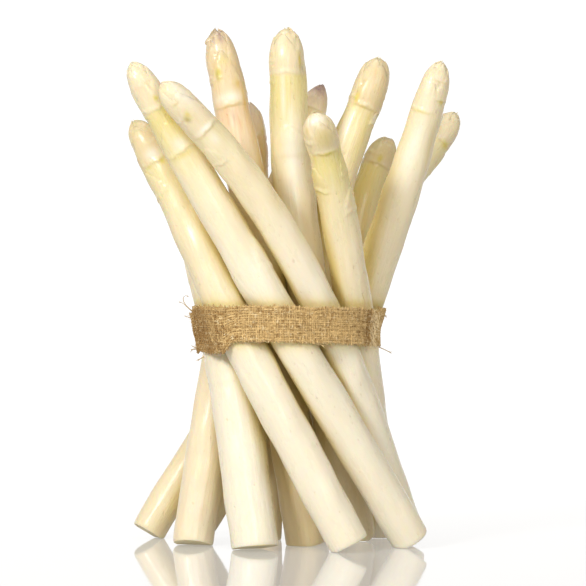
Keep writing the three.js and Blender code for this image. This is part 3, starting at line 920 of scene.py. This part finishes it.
def tube_template(rings):
    """A thread's tube: a tall cone of equal ends, cut into rings."""
    bm = bmesh.new()
    bmesh.ops.create_cone(bm, cap_ends=True, cap_tris=True, segments=THREAD_SIDES,
                          radius1=1, radius2=1, depth=2)
    sides = [e for e in bm.edges if abs(e.verts[0].co.z - e.verts[1].co.z) > 1]
    bmesh.ops.subdivide_edges(bm, edges=sides, cuts=rings - 2)
    mesh = mesh_from_bmesh(bm, "thread")
    shade_smooth(mesh)
    return mesh


def threads_mesh(name, paths, radii, tones, rings):
    """Tubes along paths: paths is (threads, rings, 3) in millimetres, radii (threads, rings)."""
    template = tube_template(rings)
    own = read_points(template)
    ring = np.rint((own[:, 2] + 1) / 2 * (rings - 1)).astype(int)
    turn = np.arctan2(own[:, 1], own[:, 0])
    reach = np.hypot(own[:, 0], own[:, 1])
    bm = bmesh.new()
    for _ in range(len(paths)):
        bm.from_mesh(template)
    mesh = mesh_from_bmesh(bm, name)
    bpy.data.meshes.remove(template)
    along = unit(np.gradient(paths, axis=1))
    up = np.where(np.abs(along[..., 2:3]) > 0.8, np.array([1.0, 0.3, 0.0]), np.array([0.0, 0.0, 1.0]))
    first = unit(np.cross(along, up))
    second = np.cross(along, first)
    made = (paths[:, ring] + (first[:, ring] * np.cos(turn)[None, :, None]
                              + second[:, ring] * np.sin(turn)[None, :, None])
            * (radii[:, ring] * reach[None])[..., None])
    write_points(mesh, made.reshape(-1, 3))
    add_tone(mesh, np.asarray(tones)[:, ring])
    return mesh


def darker_bunch_and_end_shade(strip, tones, turns):
    """Each thread's tone along its length: the gathered part of the strip is darker and browner, and painted
    shade darkens the strip just short of its frayed end and the lap beneath that end.
    """
    turns = np.asarray(turns)
    # painted shade just short of the frayed end and on the lap beneath it
    shade_under_end = np.exp(-((turns - LAP_END + 4) / 2.2) ** 2) + np.exp(-((turns - LAP_END + 358) / 3) ** 2)
    return np.clip(tones - 2.2 * strip.bunched(turns + 2) * (turns > LAP_START) - 1.2 * shade_under_end, -1.2, 1)


def uneven(chance, tones, spread):
    """Tones that drift along each thread."""
    drift = chance.normal(0, spread, tones.shape)
    return tones + np.stack([np.convolve(row, np.ones(5) / 2.2, "same") for row in drift])


def slubby(chance, count, rings, radius, spread):
    """Thread radii that swell and thin along the thread."""
    rough = chance.normal(0, spread, (count, rings))
    kernel = np.array([1, 2, 3, 2, 1.0]) / 9
    smooth = np.stack([np.convolve(row, kernel, "same") for row in rough])
    return radius * np.clip(1 + smooth, 0.6, 1.6)


def warp_threads(strip):
    """The threads along the strip."""
    chance = np.random.default_rng(11)
    start, end = STRIP_START + 165, LAP_END + 1.2
    count = int((end - start) / 360 * GIRTH / THREAD_PITCH)
    rings = count * 2 + 1
    turns = np.linspace(start, end, rings)
    paths = []
    for k in range(WARPS):
        share = (k + 0.5) / WARPS
        sway = (0.014 * np.sin(turns / 17 + chance.uniform(0, 6.3))
                + 0.009 * np.sin(turns / 5 + chance.uniform(0, 6.3)))
        lift = 0.42 + 0.17 * np.cos(np.arange(rings) * math.pi / 2 + k * math.pi)
        paths.append(strip.point(turns, share + sway, lift))
    radii = slubby(chance, WARPS, rings, 0.32, 0.4)
    tones = uneven(chance, np.repeat(chance.uniform(0.35, 0.7, (WARPS, 1)), rings, 1), 0.3)
    tones = darker_bunch_and_end_shade(strip, tones, turns[None])
    return threads_mesh("burlap_warp", np.array(paths), radii, tones, rings)


def weft_threads(strip):
    """The threads across the strip, their ends frayed past its edges."""
    chance = np.random.default_rng(12)
    start, end = STRIP_START + 166, LAP_END + 0.4
    count = int((end - start) / 360 * GIRTH / THREAD_PITCH)
    rings = WARPS * 2 + 1
    shares = np.linspace(0, 1, rings)
    paths, middles = [], []
    for k in range(count):
        turn = start + (end - start) * (k + 0.5) / count + chance.normal(0, 0.16)
        middles.append(turn)
        ends = chance.uniform(-0.01, 0.06, 2) + (chance.random(2) > 0.9) * chance.uniform(0, 0.08, 2)
        share = -ends[0] + (1 + ends[0] + ends[1]) * shares
        drift = chance.normal(0, 0.8, 2)
        stray = drift[0] * np.maximum(0, -share) * 12 + drift[1] * np.maximum(0, share - 1) * 12
        stray = stray + 0.16 * np.sin(share * chance.uniform(5, 14) + chance.uniform(0, 6.3))
        slope = chance.normal(0, 0.25)
        lift = 0.42 - 0.17 * np.cos(k * math.pi + (share * WARPS - 0.5) * math.pi)
        past_edge = np.maximum(0, np.abs(share - 0.5) - 0.5)
        lift = np.clip(lift, 0.1, 0.62) + 0.5 * past_edge * chance.uniform(-2, 8)
        paths.append(strip.point(turn + stray + slope * (share - 0.5), share, lift))
    radii = slubby(chance, count, rings, 0.31, 0.4)
    radii[:, [0, -1]] *= 0.4
    tones = uneven(chance, np.repeat(chance.uniform(0.3, 0.75, (count, 1)), rings, 1), 0.3)
    tones = darker_bunch_and_end_shade(strip, tones, np.array(middles)[:, None])
    return threads_mesh("burlap_weft", np.array(paths), radii, tones, rings)


def strip_cloth(strip):
    """The whole strip as a thin cloth under its threads: one and a half turns."""
    bm = bmesh.new()
    bmesh.ops.create_grid(bm, x_segments=540, y_segments=12, size=1)
    mesh = mesh_from_bmesh(bm, "burlap_cloth")
    points = read_points(mesh)
    turn = STRIP_START + (LAP_END - STRIP_START) * (points[:, 0] + 1) / 2
    share = (points[:, 1] + 1) / 2
    write_points(mesh, strip.point(turn, share, 0.2))
    add_tone(mesh, np.full(len(points), 0.3))
    shade_smooth(mesh)
    return mesh


def wander(chance, start, heading, length, rings, bend, droop=0.0):
    """A loose thread's path: it sets off one way and bends as it goes."""
    step = length / (rings - 1)
    at, way = np.array(start, float), unit(np.array(heading, float))
    turn = chance.normal(0, bend, 3)
    path = [at.copy()]
    for _ in range(rings - 1):
        turn = turn * 0.85 + chance.normal(0, bend * 0.5, 3)
        way = unit(way + turn * step * 0.12 + np.array([0, 0, -droop]) * step)
        at = at + way * step
        path.append(at.copy())
    return np.array(path)


def through(points, rings):
    """A smooth path through a few given points."""
    points = np.array(points, float)
    at = np.linspace(0, 1, len(points))
    even = np.linspace(0, 1, rings)
    degree = min(3, len(points) - 1)
    return np.stack([np.polyval(np.polyfit(at, points[:, k], degree), even) for k in range(3)], 1)


def loose_threads(strip):
    """The frayed end of the strip, fuzz over its face and edges and a few stray threads."""
    chance = np.random.default_rng(21)
    rings = 8
    paths, radii, tones = [], [], []

    def add(path, radius, tone, taper=0.5):
        paths.append(path)
        radii.append(radius * np.linspace(1, taper, rings) * chance.uniform(0.85, 1.15, rings))
        tones.append(np.full(rings, tone))

    def directions(turn, share):
        ahead = unit(strip.point(turn + 2, share, 0.5) - strip.point(turn, share, 0.5))
        out = unit(strip.point(turn, share, 2) - strip.point(turn, share, 0))
        return ahead, out

    for _ in range(END_FUZZ):
        share = chance.uniform(0.0, 1.0)
        turn = LAP_END - chance.uniform(0, 1.5)
        ahead, out = directions(turn, share)
        heading = ahead * 0.7 + out * chance.uniform(0.0, 0.6) + np.array([0, 0, chance.normal(0, 0.9)])
        start = strip.point(turn, share, chance.uniform(0.3, 0.9))
        add(wander(chance, start, heading, chance.uniform(1.5, 4.0), rings, 1.5),
            chance.uniform(0.05, 0.1), chance.uniform(0.6, 1.3))
    for k in range(END_CROSSING):
        turn = LAP_END + chance.normal(0.5, 2.0)
        low, high = sorted(chance.uniform(-0.14, 1.04, 2))
        share = np.linspace(low, high, rings)
        sway = chance.normal(0, 2.4) * np.sin(share * chance.uniform(4, 11) + chance.uniform(0, 6))
        add(strip.point(turn + sway, share, chance.uniform(0.5, 1.9) + 0.4 * np.sin(share * 9 + k)),
            chance.uniform(0.06, 0.14), chance.uniform(0.5, 1.5), 0.7)
    for _ in range(END_DROOPING):
        share = chance.uniform(0.1, 1.0)
        ahead, out = directions(LAP_END, share)
        heading = out * chance.uniform(0.2, 1.0) + ahead * chance.normal(0.3, 0.6) + np.array([0, 0, -0.8])
        start = strip.point(LAP_END, share, 0.8)
        add(wander(chance, start, heading, chance.uniform(2.5, 6.0), rings, 2.6, 0.08),
            chance.uniform(0.05, 0.09), chance.uniform(0.5, 1.5))
    for k in range(EDGE_FUZZ):
        edge = chance.random() < 0.62
        turn = chance.uniform(LAP_START - 30, LAP_END) if k % 3 else chance.uniform(STRIP_START + 170, LAP_END)
        share = chance.uniform(0.955, 1.0) if edge else chance.uniform(0, 0.04)
        ahead, out = directions(turn, share)
        heading = (np.array([0, 0, 1.0 if edge else -1.0]) * chance.uniform(0.2, 1)
                   + out * chance.uniform(0, 0.6) + ahead * chance.normal(0, 0.9))
        start = strip.point(turn, share, chance.uniform(0.2, 0.7))
        add(wander(chance, start, heading, chance.uniform(0.6, 1.9), rings, 1.5),
            chance.uniform(0.05, 0.11), chance.uniform(0.1, 1.0))
    for _ in range(FACE_FUZZ):
        turn, share = chance.uniform(LAP_START + 10, LAP_END), chance.uniform(0.03, 0.97)
        ahead, out = directions(turn, share)
        heading = (ahead * chance.normal(0, 1) + out * chance.uniform(0.05, 0.5)
                   + np.array([0, 0, chance.normal(0, 1)]))
        add(wander(chance, strip.point(turn, share, 0.75), heading, chance.uniform(0.7, 2.0), rings, 1.2),
            chance.uniform(0.04, 0.09), chance.uniform(0.2, 1.2))
    for points, radius, tone in STRAYS:
        add(through(points, rings), radius, tone, 0.6)
        for _ in range(3):
            start = np.array(points[-1]) + chance.normal(0, 0.15, 3)
            away = np.array(points[-1]) - np.array(points[-2])
            heading = away + chance.normal(0, 0.6, 3)
            add(wander(chance, start - away * 0.3, heading, chance.uniform(0.8, 1.8), rings, 1),
                radius * 0.4, tone)
    mesh = threads_mesh("burlap_loose", np.array(paths), np.array(radii), np.array(tones), rings)
    faces = len(mesh.polygons) // len(paths)
    at_end = np.arange(len(paths)) < END_FUZZ + END_CROSSING + END_DROOPING
    pale = np.repeat(at_end, faces).astype(np.int32)
    mesh.polygons.foreach_set("material_index", pale)
    return mesh


# the longer strays: places that each runs through in millimetres, its radius and its tone
STRAYS = [
    ([(-41.0, -7, 93.2), (-44.2, -8, 95.8), (-45.7, -8, 98.0), (-45.3, -8, 99.6), (-43.9, -8, 99.9)],
     0.20, 0.0),
    ([(-41.0, -6, 92.8), (-43.8, -7, 95.1), (-45.4, -7, 96.6), (-47.2, -7, 97.5)], 0.17, 0.1),
    ([(-40.4, -6, 90.2), (-43.0, -6, 91.1), (-45.0, -6, 91.9)], 0.20, 0.1),
    ([(-38.0, -9, 78.4), (-40.6, -10, 78.8), (-42.4, -10, 78.4)], 0.34, -0.1),
    ([(-37.6, -9, 79.4), (-40.0, -10, 79.2), (-41.6, -10, 79.8)], 0.26, 0.1),
    ([(-36.2, -10, 76.6), (-38.0, -11, 75.4), (-39.6, -11, 74.4)], 0.30, -0.1),
    ([(31.6, -1, 93.6), (33.6, -1, 92.4), (35.0, -1, 91.8)], 0.34, 0.0),
    ([(31.4, -1, 79.8), (34.6, -2, 78.4), (37.0, -2, 77.2)], 0.26, -0.1),
    ([(26.8, -18, 94.0), (26.3, -19, 97.5), (25.1, -20, 101.0)], 0.20, 0.1),
    ([(6.4, -33, 83.2), (8.0, -34, 81.6), (9.8, -34, 80.2)], 0.26, 1.2),
    ([(5.6, -33, 83.0), (6.8, -34, 81.4), (8.2, -34, 80.8)], 0.22, 0.9),
]


# --- making the pieces ---

grain = stem_grain_group()
ivory_skin = skin_material("ivory skin", grain, IVORY, CREAM, 0.40, 0.35)
ivory_leaf = skin_material("ivory scale leaf", grain, IVORY, CREAM, 0.42, 0.0)
blushed_skin = skin_material("blushed skin", grain, BUFF, PALE_BUFF, 0.42, 0.35)
blushed_leaf = skin_material("blushed scale leaf", grain, BUFF, PALE_BUFF, 0.44, 0.0)
cut_flesh = cut_material(grain)
fibre = fibre_group()
jute = jute_material("jute threads", fibre, 0.0)
jute_ground = jute_material("jute ground", fibre, 0.0)
jute_frayed = jute_material("frayed jute", fibre, 0.3)
jute_pale = jute_material("pale frayed jute", fibre, 0.8)

spears = [Spear(name) for name in SPEARS]
leaf_shape = leaf_template()
for spear in spears:
    blushed = spear.name in BLUSHED
    stem = stem_mesh(spear, spears)
    stem.materials.append(blushed_skin if blushed else ivory_skin)
    stem.materials.append(cut_flesh)
    flaps = [leaf_mesh(spear, scale, number, spears, leaf_shape)
             for number, scale in enumerate(scales_of(spear.kind)) if scale[0] < FREE_LEAF_BASE]
    leaves = join_meshes(flaps, f"{spear.name}_leaves")
    leaves.materials.append(blushed_leaf if blushed else ivory_leaf)
    for mesh, name in ((stem, f"{spear.name}_stem"), (leaves, f"{spear.name}_leaves")):
        piece = put_in_scene(mesh, name)
        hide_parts(spear.name)
bpy.data.meshes.remove(leaf_shape)

strip = Strip(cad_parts["burlap_band"])
cloth = put_in_scene(strip_cloth(strip), "burlap_cloth")
cloth.data.materials.append(jute_ground)
warp = put_in_scene(warp_threads(strip), "burlap_warp")
warp.data.materials.append(jute)
weft = put_in_scene(weft_threads(strip), "burlap_weft")
weft.data.materials.append(jute)
loose = put_in_scene(loose_threads(strip), "burlap_loose")
loose.data.materials.append(jute_frayed)
loose.data.materials.append(jute_pale)
for piece in (cloth, warp, weft, loose):
    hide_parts("burlap_band")


# --- floor, light and camera ---

PURE_WHITE = (1, 1, 1, 1)
WARM_WHITE = (1, 0.89, 0.70, 1)
SHOWN_WHITE = 1.08
LIT_POINT = (0, 0, 0.1)
PICTURE_SIDE = 586
FOCAL_PIXELS = 3125
SENSOR = 36


def floor_material():
    material, _, shader = new_material("studio floor")
    give(shader, {"Base Color": (0.4, 0.4, 0.4, 1), "Roughness": 0.05, "IOR": 1.33,
                  "Emission Color": PURE_WHITE, "Emission Strength": 0.22})
    return material


def glowing_material(name, strength):
    material, _, shader = new_material(name)
    give(shader, {"Base Color": (0, 0, 0, 1), "Roughness": 1.0,
                  "Emission Color": PURE_WHITE, "Emission Strength": strength})
    return material


def build_floor():
    bm = bmesh.new()
    bmesh.ops.create_circle(bm, cap_ends=True, segments=96, radius=4)
    mesh = mesh_from_bmesh(bm, "floor")
    mesh.materials.append(floor_material())
    floor = bpy.data.objects.new("floor", mesh)
    bpy.context.scene.collection.objects.link(floor)


def build_backdrop():
    bm = bmesh.new()
    bmesh.ops.create_grid(bm, x_segments=1, y_segments=1, size=1)
    bmesh.ops.scale(bm, vec=(3.0, 0.4, 1.0), verts=bm.verts[:])
    bmesh.ops.rotate(bm, matrix=Matrix.Rotation(math.pi / 2, 3, "X"), verts=bm.verts[:])
    bmesh.ops.translate(bm, vec=(0, 3.0, 0.38), verts=bm.verts[:])
    mesh = mesh_from_bmesh(bm, "backdrop")
    mesh.materials.append(glowing_material("white backdrop", SHOWN_WHITE))
    backdrop = bpy.data.objects.new("backdrop", mesh)
    bpy.context.scene.collection.objects.link(backdrop)


def area_light(name, place, size, power, colour=(1, 1, 1)):
    light = bpy.data.lights.new(name, "AREA")
    light.shape = "DISK"
    light.size = size
    light.energy = power
    light.color = colour
    lamp = bpy.data.objects.new(name, light)
    lamp.location = place
    lamp.rotation_euler = (Vector(LIT_POINT) - Vector(place)).to_track_quat("-Z", "Y").to_euler()
    bpy.context.scene.collection.objects.link(lamp)


def light_world(shown, strength):
    world = bpy.data.worlds.new("studio")
    world.use_nodes = True
    tree = world.node_tree
    background = tree.nodes["Background"]
    give(background, {"Color": WARM_WHITE, "Strength": strength})
    white = tree.nodes.new("ShaderNodeBackground")
    give(white, {"Color": PURE_WHITE, "Strength": shown})
    seen = tree.nodes.new("ShaderNodeLightPath").outputs["Is Camera Ray"]
    mix = tree.nodes.new("ShaderNodeMixShader")
    tree.links.new(seen, mix.inputs[0])
    tree.links.new(background.outputs[0], mix.inputs[1])
    tree.links.new(white.outputs[0], mix.inputs[2])
    tree.links.new(mix.outputs[0], tree.nodes["World Output"].inputs["Surface"])
    bpy.context.scene.world = world


build_floor()
build_backdrop()
light_world(SHOWN_WHITE, 0.40)
area_light("key", (-0.77, -1.08, 0.79), 0.3, 13.0, (1.0, 0.99, 0.97))
area_light("front", (0.15, -1.35, 0.45), 0.5, 4.2)
area_light("fill", (0.9, -0.9, 0.4), 0.8, 1.5)
area_light("top", (-0.1, 0.0, 1.3), 0.8, 2.5)

scene = bpy.context.scene
scene.view_settings.view_transform = "Standard"
camera = bpy.data.objects.new("camera", bpy.data.cameras.new("camera"))
camera.data.sensor_width = SENSOR
camera.data.lens = SENSOR * FOCAL_PIXELS / PICTURE_SIDE
camera.data.clip_start = 0.05
camera.data.clip_end = 60
camera.matrix_world = Matrix.Translation((-0.002, -1.25, 0.101)) @ Matrix.Rotation(math.pi / 2, 4, "X")
scene.collection.objects.link(camera)
scene.camera = camera
